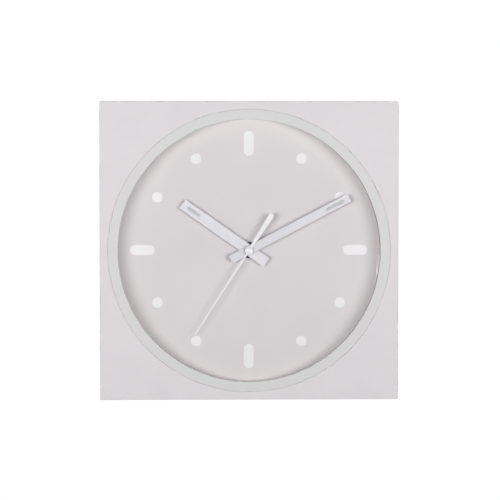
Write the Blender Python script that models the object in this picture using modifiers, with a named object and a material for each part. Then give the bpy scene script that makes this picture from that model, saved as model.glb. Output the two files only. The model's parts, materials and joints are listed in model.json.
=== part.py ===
"""Square wall clock with a flush round bezel, a deep dial and a quartz movement.

The clock is modelled lying on its back: +X is the viewer's right, +Y is up the dial and +Z
comes out from the wall towards the viewer. One empty on the hand axis then stands it up, so
that the front faces -Y, +Z is up, and the world origin is the nail that the clock hangs on.
"""
import math

import bmesh
import bpy
from mathutils import Matrix

MM = 0.001
GAP = 0.3 * MM                    # air left between pieces that rest on each other
EPS = 0.5 * MM                    # how far a cutter runs past the face it cuts

# Driving dimensions. Heights (names ending in _Z) are measured out from the wall.
FACE_SIZE = 300 * MM              # square front, edge to edge
CORNER_RADIUS = 2 * MM
FRONT_Z = 45 * MM                 # front face
REAR_RIM_Z = 2 * MM               # rear edge of the case
SIDE_WALL = 2.5 * MM
FRONT_WALL = 3 * MM
NAIL_ABOVE_AXIS = 100 * MM

# Bezel ring, and the stack of round pieces that it holds.
RING_OUTER = 142 * MM
RING_INNER = 132 * MM
RING_FACE = 4 * MM
RING_SKIRT_INNER = 139 * MM
RING_JOINT = 0.35 * MM            # visible hairline between ring and case
CARRIER_REAR_Z = 24.3 * MM        # tube behind the ring
LUG_Z = (24.3 * MM, 26.6 * MM)    # its ears for the clamp screws
LUG_REACH = 148.4 * MM
LUG_HALF = 4.5 * MM
COLLAR_OUTER = 146.2 * MM
LENS_Z = (38.7 * MM, 40.7 * MM)
GASKET_Z = (37.4 * MM, 38.4 * MM)
GASKET_INNER = 133.6 * MM
SPACER_INNER = 133 * MM
SPACER_WALL = 1.8 * MM
SPACER_FOOT = 2 * MM
CUP_RADIUS = 138.6 * MM           # lens, gasket and spacer foot
DIAL_RADIUS = 146 * MM
DIAL_Z = (22 * MM, 24 * MM)
CLAMP_AT = 102.1 * MM             # screws through dial and lugs
CLAMP_HOLE = 1.3 * MM

# Back cover, hanger and bumpers.
COVER_SIZE = 294.4 * MM
COVER_Z = (3 * MM, 5.5 * MM)
WINDOW_SIZE = 60 * MM
COVER_SCREW_AT = 132 * MM
BOSS_RADIUS = 5 * MM
SCREW_HOLE = 1.6 * MM             # radius of the screw holes in cover, bosses and hanger
BUMPER_AT = 112 * MM
BUMPER_RADIUS = 6 * MM
HANGER_SIZE = (50 * MM, 34 * MM)
HANGER_CENTRE_Y = 96 * MM
HANGER_Z = (1.5 * MM, 2.7 * MM)
HANGER_SCREW_AT = 19 * MM
KEYHOLE_MOUTH = 5.5 * MM          # radius of the round hole for the nail head
KEYHOLE_SLOT = 2.5 * MM           # half width of the slot for the nail
KEYHOLE_DROP = 12 * MM            # mouth centre below the nail

# Movement housing.
MOVEMENT_SIZE = 56 * MM
MOVEMENT_RADIUS = 3 * MM
HOUSING_WALL = 1.2 * MM
REAR_FLOOR_Z = (3.6 * MM, 4.8 * MM)
SPLIT_Z = (14 * MM, 14.3 * MM)
FRONT_PLATE_Z = (19 * MM, 20.2 * MM)
GEAR_ROOM_BOTTOM = -11.2 * MM     # lower side of the gear room
BAY_TOP = -12.4 * MM              # upper side of the battery bay
PIVOT_DEPTH = 0.8 * MM
BRIDGE_Z = (11.5 * MM, 12.3 * MM)
BRIDGE_PIVOT_Z = 12.2 * MM        # front end of the arbors that run in the bridge

# Gear axes, seen from the front, and the tooth sizes that those distances ask for.
THIRD_DISTANCE = 10.8 * MM
DRIVE_DISTANCE = 9 * MM
MINUTE_DISTANCE = 9.6 * MM
SECOND_TO_DRIVE_TEETH = (24, 6)
DRIVE_TO_ROTOR_TEETH = (45, 6)
SECOND_TO_THIRD_TEETH = (6, 45)
THIRD_TO_CENTRE_TEETH = (6, 48)
CENTRE_TO_MINUTE_TEETH = (10, 30)
MINUTE_TO_HOUR_TEETH = (8, 32)
KNOB_TEETH = 10
ROTOR_MODULE = 0.29 * MM
TOOTH_TIP = 0.85                  # height above the pitch circle, in modules
TOOTH_ROOT = 1.2                  # depth below it, in modules
TIP_HALF = 0.11                   # half width of a tooth at its tip, in tooth pitches
ROOT_HALF = 0.28                  # the same at its root

# Heights of the gears, pinions and motor pieces.
PIVOT_Z = 4.2 * MM                # rear end of every arbor
ROTOR_PINION_Z = (5.4 * MM, 7 * MM)
DRIVE_WHEEL_Z = (5.8 * MM, 6.6 * MM)
DRIVE_PINION_Z = (6.2 * MM, 8.9 * MM)
SECOND_WHEEL_Z = (7.6 * MM, 8.4 * MM)
SECOND_PINION_Z = (8 * MM, 10.9 * MM)
MAGNET_Z = (8.2 * MM, 10.8 * MM)
STATOR_Z = (9 * MM, 10 * MM)
CORE_Z = (10.3 * MM, 11.7 * MM)
THIRD_WHEEL_Z = (9.6 * MM, 10.4 * MM)
THIRD_PINION_Z = (10 * MM, 14.1 * MM)
CENTRE_WHEEL_Z = (12.7 * MM, 13.7 * MM)
CANNON_PINION_Z = (13.2 * MM, 16.2 * MM)
SETTING_GEAR_Z = (14.3 * MM, 15.9 * MM)
MINUTE_WHEEL_Z = (14.5 * MM, 15.5 * MM)
MINUTE_PINION_Z = (15.5 * MM, 17.9 * MM)
HOUR_WHEEL_Z = (16.6 * MM, 17.6 * MM)

# Pipes and arbors on the hand axis, from the inside out.
ARBOR_RADIUS = 0.5 * MM
ROTOR_ARBOR = 0.35 * MM
PIVOT_HOLE = 0.6 * MM
SOCKET_RADIUS = 0.7 * MM          # pivot sockets in the housing
MAGNET_RADIUS = 2.9 * MM
MINUTE_PIPE = (0.7 * MM, 1.55 * MM)
HOUR_PIPE = (1.7 * MM, 2.55 * MM)
BUSHING = (2.75 * MM, 4 * MM)
BUSHING_HOLE = 4.3 * MM
BUSHING_FLANGE = 6 * MM
WASHER_RADIUS = 8.2 * MM
WASHER_THICKNESS = 0.6 * MM
NUT_RADIUS = 6.35 * MM
NUT_THICKNESS = 2 * MM
RUBBER_RADIUS = 9 * MM
ARBOR_END_Z = 34.2 * MM
MINUTE_PIPE_END_Z = 32.8 * MM
HOUR_PIPE_END_Z = 30.2 * MM
BUSHING_END_Z = 27.8 * MM

# Hands. Angles run clockwise from twelve o'clock.
HOUR_ANGLE = 304.9
MINUTE_ANGLE = 62.4
SECOND_ANGLE = 212.7
HOUR_HAND_Z = (29.4 * MM, 30 * MM)
MINUTE_HAND_Z = (31.9 * MM, 32.5 * MM)
SECOND_HAND_Z = (34.5 * MM, 34.9 * MM)

ROUND_STEPS = 64                  # sides of the large circles
SMALL_STEPS = 24
HOLE_STEPS = 8                    # sides of screw holes and pivots
SCREW_STEPS = 10
ARBOR_STEPS = 10
SMOOTH_ANGLE = math.radians(35)

WHITE_CASE = ((0.70, 0.66, 0.68), 0.45, 0.0)
RING_METAL = ((0.68, 0.68, 0.68), 0.38, 0.6)
HAND_METAL = ((0.74, 0.74, 0.78), 0.35, 0.4)
WHITE_PAINT = ((0.84, 0.85, 0.83), 0.4, 0.0)
DIAL_PAINT = ((0.68, 0.64, 0.66), 0.55, 0.0)
CLEAR_GLASS = ((0.95, 0.97, 0.97), 0.02, 0.0)
BLACK_RUBBER = ((0.02, 0.02, 0.02), 0.8, 0.0)
BLACK_PLASTIC = ((0.03, 0.03, 0.03), 0.5, 0.0)
GREY_BOARD = ((0.32, 0.30, 0.28), 0.8, 0.0)
ZINC_STEEL = ((0.60, 0.61, 0.62), 0.35, 1.0)
SILICON_STEEL = ((0.35, 0.35, 0.36), 0.45, 1.0)
BRASS = ((0.78, 0.60, 0.28), 0.3, 1.0)
COPPER = ((0.80, 0.38, 0.20), 0.35, 1.0)
GEAR_PLASTIC = ((0.85, 0.84, 0.80), 0.45, 0.0)
BOARD_GREEN = ((0.05, 0.22, 0.10), 0.5, 0.0)
MAGNET_GREY = ((0.18, 0.18, 0.19), 0.4, 0.8)
BATTERY_WRAP = ((0.10, 0.11, 0.12), 0.3, 0.3)

parts = None
tools = None
stand = None


# ---------------------------------------------------------------- scene and objects

def clear_scene():
    for obj in list(bpy.data.objects):
        bpy.data.objects.remove(obj, do_unlink=True)
    for collection in list(bpy.data.collections):
        bpy.data.collections.remove(collection)


def new_collection(name):
    collection = bpy.data.collections.new(name)
    bpy.context.scene.collection.children.link(collection)
    return collection


def stand_empty():
    """The empty on the hand axis that turns the lying clock to face -Y."""
    empty = bpy.data.objects.new("clock_stand", None)
    empty.location = (0, 0, -NAIL_ABOVE_AXIS)
    empty.rotation_euler = (math.pi / 2, 0, 0)
    parts.objects.link(empty)
    return empty


def place(obj, centre, angle):
    """Parents an object to the stand, with its origin at centre and turned clockwise."""
    obj.parent = stand
    obj.location = (centre[0], centre[1], 0)
    obj.rotation_euler = (0, 0, -math.radians(angle))
    return obj


def finish(name, colour, roughness, metallic):
    material = bpy.data.materials.new(name + "_finish")
    material.use_nodes = True
    shader = material.node_tree.nodes["Principled BSDF"]
    shader.inputs["Base Color"].default_value = (*colour, 1)
    shader.inputs["Roughness"].default_value = roughness
    shader.inputs["Metallic"].default_value = metallic
    return material


def part(name, mesh, look, centre=(0, 0), angle=0):
    """A named sub-part with its own material."""
    obj = place(bpy.data.objects.new(name, mesh), centre, angle)
    parts.objects.link(obj)
    if not mesh.materials:
        mesh.materials.append(finish(name, *look))
    mesh.shade_smooth()
    mesh.set_sharp_from_angle(angle=SMOOTH_ANGLE)
    return obj


def tool(name, mesh, centre=(0, 0), angle=0):
    """A hidden shape that a Boolean modifier cuts away or adds."""
    obj = place(bpy.data.objects.new(name, mesh), centre, angle)
    obj.hide_render = True
    obj.display_type = "WIRE"
    tools.objects.link(obj)
    return obj


def boolean(obj, operand, operation):
    modifier = obj.modifiers.new(operand.name, "BOOLEAN")
    modifier.object = operand
    modifier.operation = operation
    modifier.solver = "EXACT"


def cut(obj, mesh, centre=(0, 0), angle=0):
    boolean(obj, tool(obj.name + "_cut", mesh, centre, angle), "DIFFERENCE")


def join(obj, mesh, centre=(0, 0), angle=0):
    boolean(obj, tool(obj.name + "_add", mesh, centre, angle), "UNION")


# ---------------------------------------------------------------- meshes

def mesh_of(bm, name):
    mesh = bpy.data.meshes.new(name)
    bm.to_mesh(mesh)
    bm.free()
    return mesh


def cylinder(radius, span, steps=SMALL_STEPS):
    """A cylinder on the local axis, between two heights."""
    bm = bmesh.new()
    height = span[1] - span[0]
    upright = Matrix.Translation((0, 0, span[0] + height / 2))
    bmesh.ops.create_cone(
        bm, cap_ends=True, segments=steps, radius1=radius, radius2=radius, depth=height, matrix=upright)
    return mesh_of(bm, "cylinder")


def block(x_span, y_span, z_span, corner=0.0, edge=0.0):
    """A box between two corners, with rounded upright edges and a rounded front edge."""
    bm = bmesh.new()
    size = [span[1] - span[0] for span in (x_span, y_span, z_span)]
    middle = [(span[0] + span[1]) / 2 for span in (x_span, y_span, z_span)]
    bmesh.ops.create_cube(bm, size=1, matrix=Matrix.Translation(middle) @ Matrix.Diagonal((*size, 1)))
    if corner:
        upright = [e for e in bm.edges if abs(e.verts[0].co.z - e.verts[1].co.z) > size[2] / 2]
        bmesh.ops.bevel(bm, geom=upright, offset=corner, segments=3, profile=0.5, affect="EDGES")
    if edge:
        front = [e for e in bm.edges if min(v.co.z for v in e.verts) > z_span[1] - EPS]
        bmesh.ops.bevel(bm, geom=front, offset=edge, segments=1, profile=0.5, affect="EDGES")
    return mesh_of(bm, "block")


def turned(profile, steps=ROUND_STEPS, closed=True):
    """Turns a (radius, height) profile that runs down its outer side, top to bottom."""
    bm = bmesh.new()
    points = [bm.verts.new((radius, 0, height)) for radius, height in profile]
    for first, second in zip(points, points[1:]):
        bm.edges.new((first, second))
    if closed:
        bm.edges.new((points[-1], points[0]))
    source = bpy.data.objects.new("profile", mesh_of(bm, "profile"))
    tools.objects.link(source)
    screw = source.modifiers.new("Screw", "SCREW")
    screw.axis = "Z"
    screw.steps = steps
    screw.render_steps = steps
    screw.use_merge_vertices = True
    screw.merge_threshold = 0.00001
    return evaluated_mesh(source)


def evaluated_mesh(source):
    """The mesh that an object's modifiers or curve make; the object itself is removed."""
    depsgraph = bpy.context.evaluated_depsgraph_get()
    mesh = bpy.data.meshes.new_from_object(source.evaluated_get(depsgraph))
    bpy.data.objects.remove(source, do_unlink=True)
    return mesh


def plate(outlines, span):
    """A flat plate from closed outlines, the first one outside and the others its holes."""
    curve = bpy.data.curves.new("outline", "CURVE")
    curve.dimensions = "2D"
    curve.fill_mode = "BOTH"
    curve.extrude = (span[1] - span[0]) / MM / 2
    for outline in outlines:
        spline = curve.splines.new("POLY")
        spline.points.add(len(outline) - 1)
        for point, (x, y) in zip(spline.points, outline):
            point.co = (x / MM, y / MM, 0, 1)
        spline.use_cyclic_u = True
    source = bpy.data.objects.new("outline", curve)
    tools.objects.link(source)
    mesh = evaluated_mesh(source)
    middle = (span[0] + span[1]) / 2
    mesh.transform(Matrix.Translation((0, 0, middle)) @ Matrix.Scale(MM, 4))
    bm = bmesh.new()
    bm.from_mesh(mesh)
    bmesh.ops.remove_doubles(bm, verts=bm.verts, dist=0.00001)
    bmesh.ops.recalc_face_normals(bm, faces=bm.faces)
    bm.to_mesh(mesh)
    bm.free()
    return mesh


# ---------------------------------------------------------------- outlines

def arc(centre, radius, start, stop, steps):
    """Points along an arc; angles in degrees, counter-clockwise from +X."""
    angles = [math.radians(start + (stop - start) * i / steps) for i in range(steps + 1)]
    return [(centre[0] + radius * math.cos(a), centre[1] + radius * math.sin(a)) for a in angles]


def circle(radius, centre=(0, 0), steps=SMALL_STEPS):
    return arc(centre, radius, 0, 360, steps)[:-1]


def rounded_rectangle(width, height, radius, centre=(0, 0), steps=4):
    points = []
    for sign_x, sign_y, start in ((1, 1, 0), (-1, 1, 90), (-1, -1, 180), (1, -1, 270)):
        corner = (centre[0] + sign_x * (width / 2 - radius), centre[1] + sign_y * (height / 2 - radius))
        points += arc(corner, radius, start, start + 90, steps)
    return points


def upright_slot(half_width, low, high, steps=8):
    """A slot along Y between two arc centres."""
    return arc((0, high), half_width, 0, 180, steps) + arc((0, low), half_width, 180, 360, steps)


def keyhole(nail_y):
    """A round mouth with a narrower slot above it that ends round the nail."""
    mouth_y = nail_y - KEYHOLE_DROP
    joint = math.degrees(math.acos(KEYHOLE_SLOT / KEYHOLE_MOUTH))
    slot_end = arc((0, nail_y), KEYHOLE_SLOT, 0, 180, 8)
    mouth = arc((0, mouth_y), KEYHOLE_MOUTH, 180 - joint, 360 + joint, 20)
    return slot_end + mouth


def towards(start, end):
    """Direction from one axis to another, in degrees."""
    return math.degrees(math.atan2(end[1] - start[1], end[0] - start[0]))


def gear_outline(teeth, module, tooth_at):
    """Straight-sided teeth, one of them centred on the direction tooth_at (degrees)."""
    pitch_radius = module * teeth / 2
    pitch = 2 * math.pi / teeth
    root = pitch_radius - TOOTH_ROOT * module
    tip = pitch_radius + TOOTH_TIP * module
    points = []
    for index in range(teeth):
        middle = math.radians(tooth_at) + index * pitch
        for radius, half in ((root, -ROOT_HALF), (tip, -TIP_HALF), (tip, TIP_HALF), (root, ROOT_HALF)):
            angle = middle + half * pitch
            points.append((radius * math.cos(angle), radius * math.sin(angle)))
    return points


def pinion(teeth, module, mate_at, span, bore=None):
    """A small gear with a tooth pointing at its mate."""
    outlines = [gear_outline(teeth, module, mate_at)]
    if bore:
        outlines.append(circle(bore, steps=12))
    return plate(outlines, span)


def wheel(teeth, module, mate_at, span, bore=None):
    """A large gear with a gap pointing at its mate."""
    return pinion(teeth, module, mate_at + 180 / teeth, span, bore)


# ---------------------------------------------------------------- gear train layout

def polar(distance, degrees, start=(0, 0)):
    angle = math.radians(degrees)
    return (start[0] + distance * math.cos(angle), start[1] + distance * math.sin(angle))


def pair_module(distance, teeth):
    """The tooth module that makes two gears of these tooth counts meet at a distance."""
    return 2 * distance / sum(teeth)


HUB = (0, 0)
THIRD_AXIS = polar(THIRD_DISTANCE, 135)
DRIVE_AXIS = polar(DRIVE_DISTANCE, 30)
ROTOR_AXIS = polar(ROTOR_MODULE * sum(DRIVE_TO_ROTOR_TEETH) / 2, 75, DRIVE_AXIS)
MINUTE_AXIS = polar(MINUTE_DISTANCE, 0)
KNOB_MODULE = pair_module(MINUTE_DISTANCE, CENTRE_TO_MINUTE_TEETH)
KNOB_AXIS = polar(KNOB_MODULE * (CENTRE_TO_MINUTE_TEETH[1] + KNOB_TEETH) / 2, 0, MINUTE_AXIS)
PILLARS = ((-16 * MM, -6 * MM), (18 * MM, -8 * MM), (-17.5 * MM, 14.5 * MM))
BOARD_CENTRE = (-15 * MM, 22.4 * MM)
BOARD_SIZE = (22 * MM, 7.5 * MM)
BATTERY_CENTRE = (0, -19.5 * MM)
BATTERY_Z = 11.9 * MM


def corners(distance):
    """The four corners of a square, named by where they are."""
    return (
        ("upper_right", (distance, distance)), ("upper_left", (-distance, distance)),
        ("lower_left", (-distance, -distance)), ("lower_right", (distance, -distance)))


# ---------------------------------------------------------------- case and bezel

def front_case():
    half = FACE_SIZE / 2
    inside = half - SIDE_WALL
    outer = block((-half, half), (-half, half), (REAR_RIM_Z, FRONT_Z), CORNER_RADIUS, 0.5 * MM)
    case = part("front_case", outer, WHITE_CASE)
    cut(case, block((-inside, inside), (-inside, inside), (0, FRONT_Z - FRONT_WALL)))
    wall_middle = FRONT_Z - FRONT_WALL / 2
    collar_rear = LUG_Z[1] + GAP
    join(case, cylinder(COLLAR_OUTER, (collar_rear, wall_middle), ROUND_STEPS))
    boss_rear = COVER_Z[1] + GAP
    for _, corner in corners(COVER_SCREW_AT):
        join(case, cylinder(BOSS_RADIUS, (boss_rear, wall_middle), 12), corner)
        cut(case, cylinder(SCREW_HOLE, (boss_rear - EPS, boss_rear + 10 * MM), HOLE_STEPS), corner)
    cut(case, cylinder(RING_OUTER + RING_JOINT, (collar_rear - EPS, FRONT_Z + EPS), ROUND_STEPS))
    for _, screw in corners(CLAMP_AT):
        cut(case, cylinder(CLAMP_HOLE, (collar_rear - EPS, collar_rear + 8 * MM), HOLE_STEPS), screw)


def bezel_ring():
    """The flush trim ring, and the tube behind it that holds the lens and takes the screws."""
    chamfer = 0.3 * MM
    under_face = FRONT_Z - RING_FACE
    part("bezel_ring", turned((
        (RING_OUTER - chamfer, FRONT_Z),
        (RING_OUTER, FRONT_Z - chamfer),
        (RING_OUTER, under_face),
        (RING_INNER, under_face),
        (RING_INNER, FRONT_Z - chamfer),
        (RING_INNER + chamfer, FRONT_Z))), RING_METAL)
    tube = (circle(RING_OUTER, steps=ROUND_STEPS), circle(RING_SKIRT_INNER, steps=ROUND_STEPS))
    carrier = part("bezel_carrier", plate(tube, (CARRIER_REAR_Z, under_face - GAP)), WHITE_CASE)
    for diagonal in (45, 135, 225, 315):
        lug = block((RING_OUTER - 1 * MM, LUG_REACH), (-LUG_HALF, LUG_HALF), LUG_Z)
        join(carrier, lug, angle=-diagonal)
    for _, screw in corners(CLAMP_AT):
        cut(carrier, cylinder(CLAMP_HOLE, (LUG_Z[0] - EPS, LUG_Z[1] + EPS), HOLE_STEPS), screw)


def lens_and_seals():
    part("lens_glass", cylinder(CUP_RADIUS, LENS_Z, ROUND_STEPS), CLEAR_GLASS)
    rings = (circle(CUP_RADIUS, steps=ROUND_STEPS), circle(GASKET_INNER, steps=ROUND_STEPS))
    gasket = plate(rings, GASKET_Z)
    part("lens_gasket", gasket, BLACK_RUBBER)
    top = GASKET_Z[0] - GAP
    foot = DIAL_Z[1] + GAP
    part("spacer_ring", turned((
        (SPACER_INNER + SPACER_WALL, top),
        (SPACER_INNER + SPACER_WALL, foot + SPACER_FOOT),
        (CUP_RADIUS, foot + SPACER_FOOT),
        (CUP_RADIUS, foot),
        (SPACER_INNER, foot),
        (SPACER_INNER, top))), WHITE_CASE)


def dial_plate():
    outlines = [circle(DIAL_RADIUS, steps=ROUND_STEPS), circle(BUSHING_HOLE)]
    outlines += [circle(CLAMP_HOLE, at, HOLE_STEPS) for _, at in corners(CLAMP_AT)]
    part("dial_plate", plate(outlines, DIAL_Z), DIAL_PAINT)


def pan_head_screw(head_radius, head_height, shank_radius, length):
    """A screw whose head rests on height 0, with its shank going up (+Z)."""
    return turned((
        (0, length),
        (shank_radius, length - shank_radius),
        (shank_radius, 0),
        (head_radius, 0),
        (head_radius, -head_height * 0.4),
        (head_radius * 0.7, -head_height),
        (0, -head_height)), SCREW_STEPS, closed=False)


def raised(mesh, height):
    """The same mesh, lifted to a height above the wall."""
    mesh.transform(Matrix.Translation((0, 0, height)))
    return mesh


def screws_at(prefix, places, height, sizes):
    """One screw object at each place; all of them share one mesh."""
    mesh = raised(pan_head_screw(*sizes), height)
    for name, centre in places:
        part(prefix + "_" + name, mesh, ZINC_STEEL, centre)


def back_cover():
    outlines = [
        rounded_rectangle(COVER_SIZE, COVER_SIZE, 1.5 * MM),
        rounded_rectangle(WINDOW_SIZE, WINDOW_SIZE, MOVEMENT_RADIUS + 1 * MM),
        upright_slot(8 * MM, NAIL_ABOVE_AXIS - KEYHOLE_DROP, NAIL_ABOVE_AXIS)]
    outlines += [circle(SCREW_HOLE, at, HOLE_STEPS) for _, at in corners(COVER_SCREW_AT)]
    hanger_screws = (-HANGER_SCREW_AT, HANGER_SCREW_AT)
    outlines += [circle(SCREW_HOLE, (x, HANGER_CENTRE_Y), HOLE_STEPS) for x in hanger_screws]
    part("back_cover", plate(outlines, COVER_Z), GREY_BOARD)
    size = (3.2 * MM, 1.3 * MM, 1.25 * MM, 10 * MM)
    screws_at("cover_screw", corners(COVER_SCREW_AT), COVER_Z[0] - GAP, size)


def hanger():
    outlines = [
        rounded_rectangle(*HANGER_SIZE, 3 * MM, (0, HANGER_CENTRE_Y)),
        keyhole(NAIL_ABOVE_AXIS)]
    places = (("left", (-HANGER_SCREW_AT, HANGER_CENTRE_Y)), ("right", (HANGER_SCREW_AT, HANGER_CENTRE_Y)))
    outlines += [circle(SCREW_HOLE, at, HOLE_STEPS) for _, at in places]
    part("hanger_plate", plate(outlines, HANGER_Z), ZINC_STEEL)
    screws_at("hanger_screw", places, HANGER_Z[0] - GAP, (3 * MM, 1 * MM, 1.25 * MM, 7 * MM))


def wall_bumpers():
    chamfer = 0.6 * MM
    top = COVER_Z[0] - GAP
    mesh = turned((
        (0, top),
        (BUMPER_RADIUS, top),
        (BUMPER_RADIUS, chamfer),
        (BUMPER_RADIUS - chamfer, 0),
        (0, 0)), SMALL_STEPS, closed=False)
    for name, centre in corners(BUMPER_AT):
        part("wall_bumper_" + name, mesh, BLACK_RUBBER, centre)


# ---------------------------------------------------------------- movement, fixed pieces

def housing_rooms(span):
    """The gear room and the battery bay, as cutters between two heights."""
    side = MOVEMENT_SIZE / 2 - HOUSING_WALL
    gear_room = block((-side, side), (GEAR_ROOM_BOTTOM, side), span)
    bay = block((-side, side), (-side, BAY_TOP), span)
    return gear_room, bay


def rear_housing():
    half = MOVEMENT_SIZE / 2
    tub = block((-half, half), (-half, half), (REAR_FLOOR_Z[0], SPLIT_Z[0]), MOVEMENT_RADIUS)
    housing = part("movement_rear_housing", tub, BLACK_PLASTIC)
    gear_room, _ = housing_rooms((REAR_FLOOR_Z[1], SPLIT_Z[0] + EPS))
    _, bay = housing_rooms((REAR_FLOOR_Z[0] - EPS, SPLIT_Z[0] + EPS))
    cut(housing, gear_room)
    cut(housing, bay)
    root = REAR_FLOOR_Z[0] + HOUSING_WALL / 2
    for pillar in PILLARS:
        join(housing, cylinder(1.5 * MM, (root, BRIDGE_Z[0] - GAP), ARBOR_STEPS), pillar)
    for side in (-1, 1):
        post = (BOARD_CENTRE[0] + side * BOARD_SIZE[0] / 3, BOARD_CENTRE[1])
        join(housing, cylinder(1.2 * MM, (root, 5.9 * MM), HOLE_STEPS), post)
    socket = (REAR_FLOOR_Z[1] - PIVOT_DEPTH, REAR_FLOOR_Z[1] + EPS)
    for axis in (HUB, THIRD_AXIS, DRIVE_AXIS, ROTOR_AXIS):
        cut(housing, cylinder(SOCKET_RADIUS, socket, HOLE_STEPS), axis)
    cut(housing, cylinder(0.9 * MM, (REAR_FLOOR_Z[0] - EPS, REAR_FLOOR_Z[1] + EPS), HOLE_STEPS), KNOB_AXIS)


def front_housing():
    half = MOVEMENT_SIZE / 2
    lid = block((-half, half), (-half, half), (SPLIT_Z[1], FRONT_PLATE_Z[1]), MOVEMENT_RADIUS)
    housing = part("movement_front_housing", lid, BLACK_PLASTIC)
    for room in housing_rooms((SPLIT_Z[1] - EPS, FRONT_PLATE_Z[0])):
        cut(housing, room)
    cut(housing, cylinder(BUSHING_HOLE, (FRONT_PLATE_Z[0] - EPS, FRONT_PLATE_Z[1] + EPS)))
    post = (14.2 * MM, FRONT_PLATE_Z[0] + HOUSING_WALL / 2)
    join(housing, cylinder(0.8 * MM, post, HOLE_STEPS), MINUTE_AXIS)
    socket = (FRONT_PLATE_Z[0] - EPS, FRONT_PLATE_Z[0] + PIVOT_DEPTH)
    cut(housing, cylinder(SOCKET_RADIUS, socket, HOLE_STEPS), THIRD_AXIS)


def bushing_and_nut():
    flange_bottom = 18 * MM
    part("centre_bushing", turned((
        (BUSHING[1] - 0.4 * MM, BUSHING_END_Z),
        (BUSHING[1], BUSHING_END_Z - 0.4 * MM),
        (BUSHING[1], FRONT_PLATE_Z[0] - GAP),
        (BUSHING_FLANGE, FRONT_PLATE_Z[0] - GAP),
        (BUSHING_FLANGE, flange_bottom),
        (BUSHING[0], flange_bottom),
        (BUSHING[0], BUSHING_END_Z)), SMALL_STEPS), BRASS)
    washer_top = DIAL_Z[1] + GAP + WASHER_THICKNESS
    washer = (circle(WASHER_RADIUS), circle(BUSHING_HOLE))
    part("centre_washer", plate(washer, (DIAL_Z[1] + GAP, washer_top)), BLACK_PLASTIC)
    nut = (circle(NUT_RADIUS, steps=6), circle(BUSHING_HOLE))
    nut_z = (washer_top + GAP, washer_top + GAP + NUT_THICKNESS)
    part("centre_nut", plate(nut, nut_z), BLACK_PLASTIC)
    rubber = (circle(RUBBER_RADIUS), circle(BUSHING_HOLE))
    part("rubber_washer", plate(rubber, (FRONT_PLATE_Z[1] + GAP, DIAL_Z[0] - GAP)), BLACK_RUBBER)


def bridge_plate():
    outlines = [
        rounded_rectangle(41.5 * MM, 27.3 * MM, 2 * MM, (0.75 * MM, 3.35 * MM)),
        circle(PIVOT_HOLE, HUB, ARBOR_STEPS),
        circle(2 * MM, THIRD_AXIS, 16),
        circle(PIVOT_HOLE, DRIVE_AXIS, ARBOR_STEPS),
        circle(ROTOR_ARBOR + 0.1 * MM, ROTOR_AXIS, ARBOR_STEPS),
        circle(1 * MM, KNOB_AXIS, HOLE_STEPS)]
    part("bridge_plate", plate(outlines, BRIDGE_Z), GEAR_PLASTIC)


def stepper_motor():
    """The U-shaped stator, the coil on its core, and the core bar across the U."""
    left, right, bottom, yoke, top = 4.8 * MM, 24 * MM, 7.4 * MM, 16.2 * MM, 24.4 * MM
    leg = 4 * MM
    outline = (
        (left, bottom), (right, bottom), (right, top), (right - leg, top),
        (right - leg, yoke), (left + leg, yoke), (left + leg, top), (left, top))
    part("stator", plate((outline, circle(3.3 * MM, ROTOR_AXIS, 20)), STATOR_Z), SILICON_STEEL)
    core_y = (20.3 * MM, 22.7 * MM)
    part("coil_core", block((left + GAP, right - GAP), core_y, CORE_Z), SILICON_STEEL)
    inner_left, inner_right = 9.4 * MM, 19.4 * MM
    flange = 0.8 * MM
    winding = block((inner_left + EPS, inner_right - EPS), (18.3 * MM, 24.7 * MM), (7.8 * MM, 14.2 * MM))
    coil = part("drive_coil", winding, COPPER)
    for low in (inner_left, inner_right - flange):
        join(coil, block((low, low + flange), (17.7 * MM, 25.3 * MM), (7.2 * MM, 14.8 * MM)))
    through = (inner_left - EPS, inner_right + EPS)
    cut(coil, block(through, (core_y[0] - GAP, core_y[1] + GAP), (CORE_Z[0] - GAP, CORE_Z[1] + GAP)))


def along_x(mesh, centre, height):
    """A turned mesh laid over so that its axis runs along X."""
    lay = Matrix.Rotation(math.pi / 2, 4, "Y")
    mesh.transform(Matrix.Translation((centre[0], centre[1], height)) @ lay)
    return mesh


def electronics():
    board_z = (6.2 * MM, 7.2 * MM)
    board = rounded_rectangle(*BOARD_SIZE, 0.5 * MM, BOARD_CENTRE)
    part("circuit_board", plate((board,), board_z), BOARD_GREEN)
    chip_bottom = board_z[1] + GAP
    chip = turned((
        (0, chip_bottom + 1.2 * MM),
        (1.6 * MM, chip_bottom + 1 * MM),
        (2.6 * MM, chip_bottom + 0.5 * MM),
        (3 * MM, chip_bottom),
        (0, chip_bottom)), 16, closed=False)
    part("timing_chip", chip, BLACK_PLASTIC, (BOARD_CENTRE[0] - 5 * MM, BOARD_CENTRE[1]))
    half = 4 * MM
    can = turned((
        (0, half),
        (1.2 * MM, half),
        (1.5 * MM, half - 0.3 * MM),
        (1.5 * MM, -half),
        (0, -half)), 12, closed=False)
    crystal_centre = (BOARD_CENTRE[0] + 5 * MM, BOARD_CENTRE[1])
    part("quartz_crystal", along_x(can, crystal_centre, chip_bottom + 1.5 * MM), ZINC_STEEL)


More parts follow.
